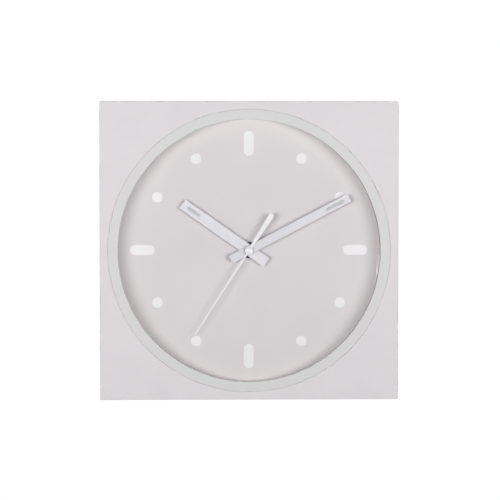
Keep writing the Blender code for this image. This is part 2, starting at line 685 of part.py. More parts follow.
def battery():
    """An AA cell, 50.5 by 14 mm, with its contacts at the ends of the bay."""
    radius = 7 * MM
    half = 25.2 * MM
    shoulder = half - 1 * MM
    cell = turned((
        (0, half),
        (2.7 * MM, half),
        (2.7 * MM, shoulder),
        (radius - 0.6 * MM, shoulder),
        (radius, shoulder - 0.6 * MM),
        (radius, -half + 0.4 * MM),
        (radius - 0.4 * MM, -half),
        (0, -half)), SMALL_STEPS, closed=False)
    part("battery_aa", along_x(cell, BATTERY_CENTRE, BATTERY_Z), BATTERY_WRAP)
    y_span = (BATTERY_CENTRE[1] - 5 * MM, BATTERY_CENTRE[1] + 5 * MM)
    z_span = (BATTERY_Z - 5 * MM, BATTERY_Z + 5 * MM)
    for name, side in (("positive", 1), ("negative", -1)):
        near = side * (half + GAP)
        far = side * (half + GAP + 0.4 * MM)
        part("battery_contact_" + name, block(sorted((near, far)), y_span, z_span), ZINC_STEEL)


# ---------------------------------------------------------------- movement, turning pieces

def second_wheel():
    module = pair_module(DRIVE_DISTANCE, SECOND_TO_DRIVE_TEETH)
    gear = wheel(SECOND_TO_DRIVE_TEETH[0], module, towards(HUB, DRIVE_AXIS), SECOND_WHEEL_Z)
    obj = part("second_wheel", gear, GEAR_PLASTIC)
    small = pair_module(THIRD_DISTANCE, SECOND_TO_THIRD_TEETH)
    join(obj, pinion(SECOND_TO_THIRD_TEETH[0], small, towards(HUB, THIRD_AXIS), SECOND_PINION_Z))
    join(obj, cylinder(ARBOR_RADIUS, (PIVOT_Z, ARBOR_END_Z), ARBOR_STEPS))


def third_wheel():
    module = pair_module(THIRD_DISTANCE, SECOND_TO_THIRD_TEETH)
    to_hub = towards(THIRD_AXIS, HUB)
    gear = wheel(SECOND_TO_THIRD_TEETH[1], module, to_hub, THIRD_WHEEL_Z)
    obj = part("third_wheel", gear, GEAR_PLASTIC, THIRD_AXIS)
    small = pair_module(THIRD_DISTANCE, THIRD_TO_CENTRE_TEETH)
    join(obj, pinion(THIRD_TO_CENTRE_TEETH[0], small, to_hub, THIRD_PINION_Z), THIRD_AXIS)
    join(obj, cylinder(ARBOR_RADIUS, (PIVOT_Z, FRONT_PLATE_Z[0] + EPS), ARBOR_STEPS), THIRD_AXIS)


def drive_wheel():
    gear = wheel(DRIVE_TO_ROTOR_TEETH[0], ROTOR_MODULE, towards(DRIVE_AXIS, ROTOR_AXIS), DRIVE_WHEEL_Z)
    obj = part("drive_wheel", gear, GEAR_PLASTIC, DRIVE_AXIS)
    module = pair_module(DRIVE_DISTANCE, SECOND_TO_DRIVE_TEETH)
    drive_pinion = pinion(SECOND_TO_DRIVE_TEETH[1], module, towards(DRIVE_AXIS, HUB), DRIVE_PINION_Z)
    join(obj, drive_pinion, DRIVE_AXIS)
    join(obj, cylinder(ARBOR_RADIUS, (PIVOT_Z, BRIDGE_PIVOT_Z), ARBOR_STEPS), DRIVE_AXIS)


def rotor():
    teeth = pinion(DRIVE_TO_ROTOR_TEETH[1], ROTOR_MODULE, towards(ROTOR_AXIS, DRIVE_AXIS), ROTOR_PINION_Z)
    obj = part("rotor_pinion", teeth, GEAR_PLASTIC, ROTOR_AXIS)
    join(obj, cylinder(ROTOR_ARBOR, (PIVOT_Z, BRIDGE_PIVOT_Z), ARBOR_STEPS), ROTOR_AXIS)
    magnet = plate((circle(MAGNET_RADIUS), circle(ROTOR_ARBOR + GAP, steps=12)), MAGNET_Z)
    part("rotor_magnet", magnet, MAGNET_GREY, ROTOR_AXIS)


def pipe(radii, span, steps=20):
    """A tube with inner and outer radius between two heights."""
    return plate((circle(radii[1], steps=steps), circle(radii[0], steps=steps)), span)


def centre_wheel():
    module = pair_module(THIRD_DISTANCE, THIRD_TO_CENTRE_TEETH)
    bore = 1 * MM
    gear = wheel(THIRD_TO_CENTRE_TEETH[1], module, towards(HUB, THIRD_AXIS), CENTRE_WHEEL_Z, bore)
    obj = part("centre_wheel", gear, GEAR_PLASTIC)
    small = pair_module(MINUTE_DISTANCE, CENTRE_TO_MINUTE_TEETH)
    join(obj, pinion(CENTRE_TO_MINUTE_TEETH[0], small, towards(HUB, MINUTE_AXIS), CANNON_PINION_Z, bore))
    join(obj, pipe(MINUTE_PIPE, (CENTRE_WHEEL_Z[0], MINUTE_PIPE_END_Z)))


def minute_wheel():
    module = pair_module(MINUTE_DISTANCE, CENTRE_TO_MINUTE_TEETH)
    to_hub = towards(MINUTE_AXIS, HUB)
    bore = 0.95 * MM
    gear = wheel(CENTRE_TO_MINUTE_TEETH[1], module, to_hub, MINUTE_WHEEL_Z, bore)
    obj = part("minute_wheel", gear, GEAR_PLASTIC, MINUTE_AXIS)
    small = pair_module(MINUTE_DISTANCE, MINUTE_TO_HOUR_TEETH)
    join(obj, pinion(MINUTE_TO_HOUR_TEETH[0], small, to_hub, MINUTE_PINION_Z, bore), MINUTE_AXIS)


def hour_wheel():
    module = pair_module(MINUTE_DISTANCE, MINUTE_TO_HOUR_TEETH)
    gear = wheel(MINUTE_TO_HOUR_TEETH[1], module, towards(HUB, MINUTE_AXIS), HOUR_WHEEL_Z, 2 * MM)
    obj = part("hour_wheel", gear, GEAR_PLASTIC)
    join(obj, pipe(HOUR_PIPE, (HOUR_WHEEL_Z[0], HOUR_PIPE_END_Z), 24))


def setting_knob():
    """A finger knob behind the movement, with the gear that turns the minute wheel."""
    lobes = 18
    radius = 6 * MM
    edge = []
    for index in range(lobes * 2):
        reach = radius if index % 2 else radius - 0.5 * MM
        edge.append(polar(reach, index * 180 / lobes))
    bottom = REAR_FLOOR_Z[0] - GAP - 2.3 * MM
    top = REAR_FLOOR_Z[0] - GAP
    knob = part("setting_knob", plate((edge,), (bottom, top)), BLACK_PLASTIC, KNOB_AXIS)
    join(knob, cylinder(0.7 * MM, (top - EPS, 16.2 * MM), ARBOR_STEPS), KNOB_AXIS)
    teeth = pinion(KNOB_TEETH, KNOB_MODULE, towards(KNOB_AXIS, MINUTE_AXIS), SETTING_GEAR_Z, 1 * MM)
    part("setting_gear", teeth, GEAR_PLASTIC, KNOB_AXIS)


# ---------------------------------------------------------------- hands

def bar_hand(half_width, tail, length, slot, hole, span):
    """A flat bar with a slot near its tip and a hole for its pipe, pointing up (+Y)."""
    outline = ((half_width, -tail), (half_width, length), (-half_width, length), (-half_width, -tail))
    low, high, slot_half = slot
    opening = upright_slot(slot_half, low + slot_half, high - slot_half, 6)
    return plate((outline, opening, circle(hole)), span)


def hour_hand():
    blade = bar_hand(5.4 * MM, 21.8 * MM, 81.8 * MM, (59.2 * MM, 74.9 * MM, 1.65 * MM), 2.85 * MM,
                     HOUR_HAND_Z)
    part("hour_hand", blade, HAND_METAL, HUB, HOUR_ANGLE)
    collet = pipe((2.85 * MM, 4.4 * MM), (BUSHING_END_Z + GAP, HOUR_HAND_Z[0] - GAP), 24)
    part("hour_hand_collet", collet, BRASS, HUB, HOUR_ANGLE)


def minute_hand():
    blade = bar_hand(4.25 * MM, 20.7 * MM, 114.6 * MM, (87.7 * MM, 108.3 * MM, 1.65 * MM), 1.85 * MM,
                     MINUTE_HAND_Z)
    part("minute_hand", blade, HAND_METAL, HUB, MINUTE_ANGLE)
    collet = pipe((1.85 * MM, 3.4 * MM), (HOUR_PIPE_END_Z + GAP, MINUTE_HAND_Z[0] - GAP))
    part("minute_hand_collet", collet, BRASS, HUB, MINUTE_ANGLE)


def second_hand():
    tip_y = 100.2 * MM
    tip_half = 0.45 * MM
    root_half = 0.95 * MM
    tail_root_half = 1.4 * MM
    tail_end_half = 2.7 * MM
    tail_end_y = -41.1 * MM
    blade = [(root_half, 0)] + arc((0, tip_y - tip_half), tip_half, 0, 180, 4) + [(-root_half, 0)]
    tail = arc((0, tail_end_y), tail_end_half, 180, 360, 10)
    outline = blade + [(-tail_root_half, -4 * MM)] + tail + [(tail_root_half, -4 * MM)]
    hand = part("second_hand", plate((outline,), SECOND_HAND_Z), WHITE_PAINT, HUB, SECOND_ANGLE)
    join(hand, cylinder(3.4 * MM, SECOND_HAND_Z))
    cut(hand, cylinder(1.7 * MM, (SECOND_HAND_Z[0] - EPS, SECOND_HAND_Z[1] + EPS)))


def second_hand_cap():
    """A domed cap whose stem grips the arbor through the second hand."""
    head = SECOND_HAND_Z[1] + GAP
    stem_bottom = MINUTE_PIPE_END_Z + 0.4 * MM
    part("second_hand_cap", turned((
        (0, head + 1.5 * MM),
        (2.6 * MM, head + 1.4 * MM),
        (3.7 * MM, head + 1 * MM),
        (4.15 * MM, head + 0.4 * MM),
        (4.15 * MM, head),
        (1.4 * MM, head),
        (1.4 * MM, stem_bottom),
        (0.8 * MM, stem_bottom),
        (0.8 * MM, ARBOR_END_Z + GAP),
        (0, ARBOR_END_Z + GAP)), SMALL_STEPS, closed=False), WHITE_PAINT, HUB, SECOND_ANGLE)


# ---------------------------------------------------------------- build

def build_case():
    front_case()
    bezel_ring()
    lens_and_seals()
    dial_plate()
    clamp_screws = corners(CLAMP_AT)
    screws_at("dial_screw", clamp_screws, DIAL_Z[0] - GAP, (2.4 * MM, 1.2 * MM, 0.95 * MM, 10 * MM))
    back_cover()
    hanger()
    wall_bumpers()


def build_movement():
    rear_housing()
    front_housing()
    bushing_and_nut()
    bridge_plate()
    stepper_motor()
    electronics()
    battery()
    second_wheel()
    third_wheel()
    drive_wheel()
    rotor()
    centre_wheel()
    minute_wheel()
    hour_wheel()
    setting_knob()


def build_hands():
    hour_hand()
    minute_hand()
    second_hand()
    second_hand_cap()


clear_scene()
parts = new_collection("square_wall_clock")
tools = new_collection("cutters")
stand = stand_empty()
build_case()
build_movement()
build_hands()
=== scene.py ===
"""Looks of the square wall clock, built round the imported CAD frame.

Pieces are drawn in the clock's own frame, as in the CAD: +X is the viewer's right, +Y is up
the dial and +Z comes out from the wall, with the origin on the hand axis. STAND turns that
frame upright, so that the front faces -Y and the nail is at the world origin.
"""
import json
import math

import bmesh
import bpy
from mathutils import Matrix, Vector


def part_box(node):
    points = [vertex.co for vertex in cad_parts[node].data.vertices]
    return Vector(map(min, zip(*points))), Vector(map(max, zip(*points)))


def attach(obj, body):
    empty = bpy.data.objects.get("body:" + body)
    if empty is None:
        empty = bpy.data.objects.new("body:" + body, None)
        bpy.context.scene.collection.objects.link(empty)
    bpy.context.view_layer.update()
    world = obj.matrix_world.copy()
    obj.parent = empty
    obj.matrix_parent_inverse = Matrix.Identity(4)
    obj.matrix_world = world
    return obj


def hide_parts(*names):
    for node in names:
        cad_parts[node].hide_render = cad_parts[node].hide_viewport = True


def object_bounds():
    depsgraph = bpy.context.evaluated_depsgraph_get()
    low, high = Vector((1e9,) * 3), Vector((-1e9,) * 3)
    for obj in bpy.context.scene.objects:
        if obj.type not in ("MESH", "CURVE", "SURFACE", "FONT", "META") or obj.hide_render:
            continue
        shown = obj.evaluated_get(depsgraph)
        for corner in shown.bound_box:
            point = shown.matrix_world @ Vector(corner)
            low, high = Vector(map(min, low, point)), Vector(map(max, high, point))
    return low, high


MM = 0.001

# Sizes that the visible pieces share with the CAD. Heights (_Z) are measured from the wall.
CORNER_RADIUS = 2 * MM
SIDE_WALL = 2.5 * MM
FRONT_WALL = 3 * MM
HOLE_RADIUS = 142.35 * MM
COLLAR_OUTER = 146.2 * MM
COLLAR_REAR_Z = 26.9 * MM
RING_OUTER = 142 * MM
RING_INNER = 132 * MM
SPACER_INNER = 133 * MM
SPACER_OUTER = 134.8 * MM
SPACER_FOOT = 138.6 * MM          # outer radius of the spacer's foot
COVER_SCREW_AT = 132 * MM
BUMPER_AT = 112 * MM
HANGER_CENTRE_Y = 96 * MM
HANGER_SCREW_AT = 19 * MM
NAIL_Y = 100 * MM
KEYHOLE_MOUTH = 5.5 * MM
KEYHOLE_SLOT = 2.5 * MM
KEYHOLE_DROP = 12 * MM
SCREW_HOLE = 1.6 * MM
BUSHING_HOLE = 4.3 * MM

# Details that only the looks have.
SEAT_RADIUS = 142.05 * MM         # the hole below the groove round the ring
GROOVE_DEPTH = 0.45 * MM
GASKET_OUTER = 138.3 * MM
# Painted shade: the black gasket lip reaches in to this radius and sits off centre, so it draws the dark
# shade line just inside the ring.
SHADE_LIP_INNER = 132.35 * MM
SHADE_LIP_OFFSET = (-0.32 * MM, -0.15 * MM)

# Hands. A blade is its half width, tail and length, and the radius of the hole for its pipe.
# A slot is its near and far end, from the hand axis, and its half width. All are the CAD's,
# except that the hour slot lies 0.7 to 0.9 mm further out.
HOUR_BLADE = (5.4 * MM, 21.8 * MM, 81.8 * MM, 2.85 * MM)
HOUR_SLOT = (60.1 * MM, 75.6 * MM, 1.65 * MM)
MINUTE_BLADE = (4.25 * MM, 20.7 * MM, 114.6 * MM, 1.85 * MM)
MINUTE_SLOT = (87.7 * MM, 108.3 * MM, 1.65 * MM)
HOUR_ANGLE = 304.9
MINUTE_ANGLE = 62.4
SECOND_ANGLE = 212.7

# Printed marks on the dial.
PILL_SPAN = (95.4 * MM, 120.5 * MM)
PILL_WIDTH = 10.15 * MM
DOT_CENTRE = 106.9 * MM
DOT_RADIUS = 5.33 * MM
INK = 0.08 * MM

SIDE_POINTS = 48                  # points along each side of the case's outlines
CORNER_POINTS = 8                 # and round each corner
LATHE_STEPS = 256
SMALL_STEPS = 64
PROFILE_STEPS = 4                 # round each softened corner of a profile
SHARP_ANGLE = 40                  # degrees
VIEW_WIDTH = 0.5019               # metres of the face's plane across the picture
CORNER_SHARE = 0.0133             # the case's corner radius, as a share of half its width

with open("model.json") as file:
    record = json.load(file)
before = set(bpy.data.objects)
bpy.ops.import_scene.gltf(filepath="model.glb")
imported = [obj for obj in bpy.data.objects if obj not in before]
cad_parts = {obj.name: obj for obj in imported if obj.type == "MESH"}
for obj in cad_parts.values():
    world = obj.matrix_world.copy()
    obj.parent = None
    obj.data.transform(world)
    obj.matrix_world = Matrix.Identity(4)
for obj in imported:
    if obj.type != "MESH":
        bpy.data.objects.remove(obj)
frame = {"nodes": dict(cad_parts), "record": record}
cad_low, cad_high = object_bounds()
node_slot = {entry["node"]: entry["material_slot"] for entry in frame["record"]["subparts"]}
HUB_HEIGHT = sum((corner.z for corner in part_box("second_hand_cap")), 0.0) / 2
STAND = Matrix.Translation((0, 0, HUB_HEIGHT)) @ Matrix.Rotation(math.pi / 2, 4, "X")


def depth(node):
    """A node's rear and front height above the wall."""
    low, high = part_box(node)
    return (-high.y, -low.y)


# ---------------------------------------------------------------- materials

class Look:
    """One procedural material, with the slot that it belongs to."""

    def __init__(self, slot, metallic=0.0, coat=0.0):
        self.slot = slot
        self.material = bpy.data.materials.new("look_" + slot)
        self.material.use_nodes = True
        self.tree = self.material.node_tree
        self.shader = self.tree.nodes["Principled BSDF"]
        self.shader.inputs["Metallic"].default_value = metallic
        self.shader.inputs["Coat Weight"].default_value = coat
        self.coords = self.add("ShaderNodeTexCoord").outputs["Object"]

    def add(self, kind, **settings):
        node = self.tree.nodes.new(kind)
        for name, value in settings.items():
            setattr(node, name, value)
        return node

    def link(self, output, target):
        self.tree.links.new(output, target)

    def space(self, stretch):
        mapping = self.add("ShaderNodeMapping")
        mapping.inputs["Scale"].default_value = stretch
        self.link(self.coords, mapping.inputs["Vector"])
        return mapping.outputs["Vector"]

    def noise(self, size, detail=2, stretch=(1, 1, 1)):
        """Cloudy noise whose features are about size metres across."""
        node = self.add("ShaderNodeTexNoise")
        node.inputs["Scale"].default_value = 1 / size
        node.inputs["Detail"].default_value = detail
        self.link(self.space(stretch), node.inputs["Vector"])
        return node.outputs["Fac"]

    def cells(self, size):
        """Distance from the centres of cells about size metres across."""
        node = self.add("ShaderNodeTexVoronoi")
        node.inputs["Scale"].default_value = 1 / size
        self.link(self.coords, node.inputs["Vector"])
        return node.outputs["Distance"]

    def spread(self, value, low, high, start=0.3, stop=0.7):
        """Maps a noise value to the range from low to high."""
        node = self.add("ShaderNodeMapRange")
        node.inputs["From Min"].default_value = start
        node.inputs["From Max"].default_value = stop
        node.inputs["To Min"].default_value = low
        node.inputs["To Max"].default_value = high
        self.link(value, node.inputs["Value"])
        return node.outputs["Result"]

    def mix(self, value, first, second):
        node = self.add("ShaderNodeMix", data_type="RGBA")
        self.link(value, node.inputs["Factor"])
        for name, colour in (("A", first), ("B", second)):
            socket = [s for s in node.inputs if s.name == name and s.type == "RGBA"][0]
            if isinstance(colour, tuple):
                socket.default_value = (*colour, 1)
            else:
                self.link(colour, socket)
        return [s for s in node.outputs if s.type == "RGBA"][0]

    def sum(self, first, second, weight):
        """first plus second times weight."""
        node = self.add("ShaderNodeMath", operation="MULTIPLY_ADD")
        self.link(second, node.inputs[0])
        node.inputs[1].default_value = weight
        self.link(first, node.inputs[2])
        return node.outputs["Value"]

    def colour(self, base, variation, value):
        """Base colour that the value makes lighter and darker by the variation."""
        dark = tuple(c * (1 - variation) for c in base)
        light = tuple(min(1.0, c * (1 + variation)) for c in base)
        result = self.mix(value, dark, light)
        self.link(result, self.shader.inputs["Base Color"])
        return result

    def roughness(self, value):
        self.link(value, self.shader.inputs["Roughness"])

    def bump(self, height, distance):
        node = self.add("ShaderNodeBump")
        node.inputs["Strength"].default_value = 1
        node.inputs["Distance"].default_value = distance
        self.link(height, node.inputs["Height"])
        self.link(node.outputs["Normal"], self.shader.inputs["Normal"])


def painted(slot, base, rough, variation=0.02, cloud=30 * MM, peel=0.7 * MM, height=0.01 * MM):
    """Sprayed paint: faint clouds of tone, and the fine pebbling that spray leaves."""
    look = Look(slot)
    clouds = look.noise(cloud, 3)
    fine = look.noise(peel, 2)
    look.colour(base, variation, look.spread(look.sum(clouds, fine, 0.25), 0, 1, 0.4, 0.85))
    look.roughness(look.spread(fine, rough - 0.05, rough + 0.05))
    look.bump(fine, height)
    return look


def blasted_metal(slot, base, rough, metallic):
    """Satin metal with the fine mottle that bead blasting leaves."""
    look = Look(slot, metallic)
    mottle = look.noise(1.3 * MM, 3)
    speckle = look.cells(0.6 * MM)
    tone = look.sum(mottle, speckle, 0.35)
    look.colour(base, 0.045, look.spread(tone, 0, 1, 0.4, 0.85))
    look.roughness(look.spread(mottle, rough - 0.08, rough + 0.08))
    look.bump(speckle, 0.012 * MM)
    return look


def brushed_metal(slot, base, rough, metallic, variation=0.05):
    """Satin metal with fine scratches along the piece's own Y axis."""
    look = Look(slot, metallic)
    hairs = look.noise(0.5 * MM, 3, (1, 0.012, 1))
    bands = look.noise(4 * MM, 2, (1, 0.048, 1))
    look.colour(base, variation, look.spread(look.sum(hairs, bands, 0.6), 0, 1, 0.5, 1.1))
    look.roughness(look.spread(hairs, rough - 0.1, rough + 0.1))
    look.bump(hairs, 0.008 * MM)
    return look


def plated_steel(slot, base, rough, tint):
    """Zinc plating: bright crystals, faint passivation tints and fine scratches."""
    look = Look(slot, 1.0)
    crystals = look.cells(1.6 * MM)
    scratches = look.noise(0.25 * MM, 2, (0.04, 1, 1))
    plain = look.mix(look.spread(look.noise(9 * MM, 2), 0, 1), base, tint)
    shade = look.mix(look.spread(crystals, 0, 1, 0.1, 0.8), plain, base)
    look.link(shade, look.shader.inputs["Base Color"])
    look.roughness(look.spread(look.sum(crystals, scratches, 0.5), rough - 0.1, rough + 0.12))
    look.bump(scratches, 0.006 * MM)
    return look


def moulded(slot, base, rough, grain=0.8 * MM, height=0.03 * MM, variation=0.08):
    """Moulded plastic or rubber with a spark-eroded grain and slight flow marks."""
    look = Look(slot)
    pits = look.cells(grain)
    flow = look.noise(18 * MM, 3, (1, 0.4, 1))
    look.colour(base, variation, look.spread(look.sum(flow, pits, 0.3), 0, 1, 0.35, 0.9))
    look.roughness(look.spread(pits, rough - 0.06, rough + 0.08, 0.0, 0.8))
    look.bump(pits, height)
    return look


def glass_pane():
    """Thin clear glass: nearly invisible from the front, glossy at a glance."""
    look = Look("lens_glass", metallic=1.0)
    smudge = look.noise(35 * MM, 4)
    look.colour((0.95, 0.97, 0.97), 0.02, look.spread(smudge, 0, 1))
    look.roughness(look.spread(smudge, 0.02, 0.05))
    tilt = look.add("ShaderNodeLayerWeight")
    schlick = look.add("ShaderNodeMath", operation="POWER")
    look.link(tilt.outputs["Facing"], schlick.inputs[0])
    schlick.inputs[1].default_value = 5
    look.link(look.spread(schlick.outputs["Value"], 0.025, 0.8, 0, 1), look.shader.inputs["Alpha"])
    return look


def wound_wire():
    look = Look("copper_wire", 1.0)
    turns = look.add("ShaderNodeTexWave", bands_direction="X")
    turns.inputs["Scale"].default_value = 1 / (0.9 * MM)
    turns.inputs["Distortion"].default_value = 0.4
    look.link(look.coords, turns.inputs["Vector"])
    look.colour((0.72, 0.32, 0.14), 0.25, turns.outputs["Fac"])
    look.roughness(look.spread(turns.outputs["Fac"], 0.25, 0.4))
    look.bump(turns.outputs["Fac"], 0.05 * MM)
    return look


def circuit_resin():
    look = Look("board_green", coat=0.4)
    weave = look.cells(0.5 * MM)
    tracks = look.noise(2.5 * MM, 0, (1, 0.3, 1))
    look.colour((0.03, 0.20, 0.09), 0.35, look.spread(tracks, 0, 1, 0.48, 0.52))
    look.roughness(look.spread(weave, 0.35, 0.5))
    look.bump(weave, 0.01 * MM)
    return look


def battery_sleeve():
    """A plain printed sleeve: dark, with a lighter band near the positive end."""
    look = Look("battery_wrap", metallic=0.35, coat=0.5)
    position = look.add("ShaderNodeSeparateXYZ")
    look.link(look.coords, position.inputs["Vector"])
    band = look.spread(position.outputs["X"], 0, 1, 13.9 * MM, 14.1 * MM)
    fine = look.noise(0.4 * MM, 2, (0.1, 1, 1))
    dark = look.mix(look.spread(fine, 0, 1), (0.030, 0.034, 0.040), (0.045, 0.050, 0.058))
    pale = look.mix(look.spread(fine, 0, 1), (0.56, 0.36, 0.14), (0.66, 0.44, 0.19))
    look.link(look.mix(band, dark, pale), look.shader.inputs["Base Color"])
    look.roughness(look.spread(fine, 0.24, 0.34))
    look.bump(fine, 0.004 * MM)
    return look


LOOKS = {look.slot: look for look in (
    painted("case_paint", (0.72, 0.68, 0.70), 0.48),
    blasted_metal("ring_metal", (0.635, 0.635, 0.635), 0.55, 0.12),
    brushed_metal("hand_metal", (0.63, 0.63, 0.66), 0.42, 0.3),
    painted("white_paint", (0.875, 0.87, 0.885), 0.4, 0.015, 8 * MM, 0.5 * MM, 0.008 * MM),
    painted("dial_paint", (0.735, 0.693, 0.702), 0.62, 0.015, 45 * MM, 0.45 * MM, 0.012 * MM),
    glass_pane(),
    moulded("black_rubber", (0.018, 0.018, 0.019), 0.78, 0.5 * MM, 0.03 * MM),
    moulded("black_plastic", (0.022, 0.022, 0.024), 0.42, 0.7 * MM, 0.02 * MM),
    moulded("grey_plastic", (0.20, 0.20, 0.205), 0.55, 0.9 * MM, 0.04 * MM),
    plated_steel("zinc_steel", (0.62, 0.63, 0.65), 0.32, (0.66, 0.62, 0.50)),
    plated_steel("motor_steel", (0.34, 0.34, 0.36), 0.42, (0.30, 0.32, 0.38)),
    brushed_metal("brass", (0.78, 0.58, 0.25), 0.3, 1.0, 0.08),
    wound_wire(),
    moulded("gear_plastic", (0.80, 0.79, 0.74), 0.4, 0.4 * MM, 0.01 * MM, 0.03),
    circuit_resin(),
    plated_steel("magnet", (0.16, 0.16, 0.17), 0.38, (0.20, 0.19, 0.18)),
    battery_sleeve())}
LUME = moulded("white_paint", (0.57, 0.56, 0.56), 0.7, 0.5 * MM, 0.02 * MM, 0.04).material


# ---------------------------------------------------------------- objects

def show(name, mesh, slot, nodes=(), body="clock_body", centre=(0, 0), angle=0):
    """A visible piece that stands for the named CAD nodes and moves with a body."""
    obj = bpy.data.objects.new(name, mesh)
    bpy.context.scene.collection.objects.link(obj)
    turn = Matrix.Rotation(-math.radians(angle), 4, "Z")
    obj.matrix_world = STAND @ Matrix.Translation((*centre, 0)) @ turn
    if not mesh.materials:
        mesh.materials.append(LOOKS[slot].material)
    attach(obj, body)
    if nodes:
        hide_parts(*nodes)
    return obj


def shaded(mesh):
    """Smooth shading, broken at edges sharper than SHARP_ANGLE."""
    mesh.shade_smooth()
    mesh.set_sharp_from_angle(angle=math.radians(SHARP_ANGLE))
    return mesh


def even_normals(obj):
    """Keeps large flat faces flat where they meet rounded edges."""
    modifier = obj.modifiers.new("even_normals", "WEIGHTED_NORMAL")
    modifier.keep_sharp = True
    return obj


def mesh_from(bm, name):
    bmesh.ops.recalc_face_normals(bm, faces=bm.faces)
    mesh = bpy.data.meshes.new(name)
    bm.to_mesh(mesh)
    bm.free()
    return mesh


# ---------------------------------------------------------------- outlines and meshes

def arc(centre, radius, start, stop, steps):
    """Points along an arc; angles in degrees, counter-clockwise from +X."""
    angles = [math.radians(start + (stop - start) * i / steps) for i in range(steps + 1)]
    return [(centre[0] + radius * math.cos(a), centre[1] + radius * math.sin(a)) for a in angles]


def circle(radius, centre=(0, 0), steps=SMALL_STEPS):
    return arc(centre, radius, 0, 360, steps)[:-1]


def polar(distance, degrees):
    return (distance * math.cos(math.radians(degrees)), distance * math.sin(math.radians(degrees)))


def rounded_rectangle(width, height, radius, centre=(0, 0), steps=8):
    points = []
    for sign_x, sign_y, start in ((1, 1, 0), (-1, 1, 90), (-1, -1, 180), (1, -1, 270)):
        corner = (centre[0] + sign_x * (width / 2 - radius), centre[1] + sign_y * (height / 2 - radius))
        points += arc(corner, radius, start, start + 90, steps)
    return points


def upright_slot(half_width, low, high, steps=24):
    """A slot along Y between two arc centres."""
    return arc((0, high), half_width, 0, 180, steps) + arc((0, low), half_width, 180, 360, steps)


def keyhole():
    """A round mouth with a narrower slot above it that ends round the nail."""
    joint = math.degrees(math.acos(KEYHOLE_SLOT / KEYHOLE_MOUTH))
    slot_end = arc((0, NAIL_Y), KEYHOLE_SLOT, 0, 180, 24)
    mouth = arc((0, NAIL_Y - KEYHOLE_DROP), KEYHOLE_MOUTH, 180 - joint, 360 + joint, 48)
    return slot_end + mouth


def plate(outlines, span, edge=0.1 * MM, rounds=2):
    """A flat plate with rounded edges, from closed outlines: one outside, the others holes."""
    curve = bpy.data.curves.new("outline", "CURVE")
    curve.dimensions = "2D"
    curve.fill_mode = "BOTH"
    curve.extrude = ((span[1] - span[0]) / 2 - edge) / MM
    curve.bevel_depth = edge / MM
    curve.bevel_resolution = rounds
    curve.offset = -edge / MM
    for outline in outlines:
        spline = curve.splines.new("POLY")
        spline.points.add(len(outline) - 1)
        for point, (x, y) in zip(spline.points, outline):
            point.co = (x / MM, y / MM, 0, 1)
        spline.use_cyclic_u = True
    source = bpy.data.objects.new("outline", curve)
    bpy.context.scene.collection.objects.link(source)
    depsgraph = bpy.context.evaluated_depsgraph_get()
    flat = bpy.data.meshes.new_from_object(source.evaluated_get(depsgraph))
    bpy.data.objects.remove(source, do_unlink=True)
    bm = bmesh.new()
    bm.from_mesh(flat)
    bmesh.ops.remove_doubles(bm, verts=bm.verts, dist=0.001)
    middle = (span[0] + span[1]) / 2
    bmesh.ops.transform(bm, matrix=Matrix.Translation((0, 0, middle)) @ Matrix.Scale(MM, 4), verts=bm.verts)
    return shaded(mesh_from(bm, "plate"))


def loft(loops, name):
    """A closed skin through loops that all have the same number of points."""
    bm = bmesh.new()
    rings = [[bm.verts.new(point) for point in loop] for loop in loops]
    pairs = list(zip(rings, rings[1:]))
    pairs.append((rings[-1], rings[0]))
    for first, second in pairs:
        count = len(first)
        for i in range(count):
            j = (i + 1) % count
            bm.faces.new((first[i], first[j], second[j], second[i]))
    return shaded(mesh_from(bm, name))


def turned(profile, name, steps=LATHE_STEPS, closed=True):
    """A (radius, height) profile turned round the axis; a radius of 0 closes on the axis."""
    bm = bmesh.new()
    rings = []
    for radius, height in profile:
        if radius == 0:
            rings.append([bm.verts.new((0, 0, height))])
        else:
            rings.append([bm.verts.new((x, y, height)) for x, y in circle(radius, steps=steps)])
    pairs = list(zip(rings, rings[1:]))
    if closed:
        pairs.append((rings[-1], rings[0]))
    for first, second in pairs:
        for i in range(steps):
            j = (i + 1) % steps
            corners = (first[i % len(first)], first[j % len(first)],
                       second[j % len(second)], second[i % len(second)])
            face = list(dict.fromkeys(corners))
            if len(face) > 2:
                bm.faces.new(face)
    return shaded(mesh_from(bm, name))


def rounded_corner(before, corner, after, radius):
    """Points that round a profile's corner, with a holding point just before and after."""
    point = Vector(corner)
    back = (Vector(before) - point).normalized()
    ahead = (Vector(after) - point).normalized()
    half = back.angle(ahead) / 2
    reach = radius / math.tan(half)
    centre = point + (back + ahead).normalized() * (radius / math.sin(half))
    start = point + back * reach - centre
    stop = point + ahead * reach - centre
    turn = start.angle_signed(stop)
    points = [point + back * reach * 1.5]
    for i in range(PROFILE_STEPS + 1):
        angle = -turn * i / PROFILE_STEPS
        spun = Matrix.Rotation(angle, 2) @ start
        points.append(centre + spun)
    points.append(point + ahead * reach * 1.5)
    return [tuple(p) for p in points]


def softened(corners, radii):
    """A closed profile with each corner rounded by its radius; 0 leaves it sharp."""
    profile = []
    for i, (corner, radius) in enumerate(zip(corners, radii)):
        if radius:
            before = corners[i - 1]
            after = corners[(i + 1) % len(corners)]
            profile += rounded_corner(before, corner, after, radius)
        else:
            profile.append(corner)
    return profile


# ---------------------------------------------------------------- case

def square_loop(half, radius, height):
    """A rounded square, with points spread by angle along its sides."""
    points = []
    straight = half - radius
    for quarter in range(4):
        turn = Matrix.Rotation(math.pi / 2 * quarter, 2)
        side = []
        for i in range(SIDE_POINTS + 1):
            angle = math.radians(-45 + 90 * i / SIDE_POINTS)
            side.append((half, straight * math.tan(angle)))
        side += arc((straight, straight), radius, 0, 90, CORNER_POINTS)[1:-1]
        points += [turn @ Vector(point) for point in side]
    return [(p.x, p.y, height) for p in points]


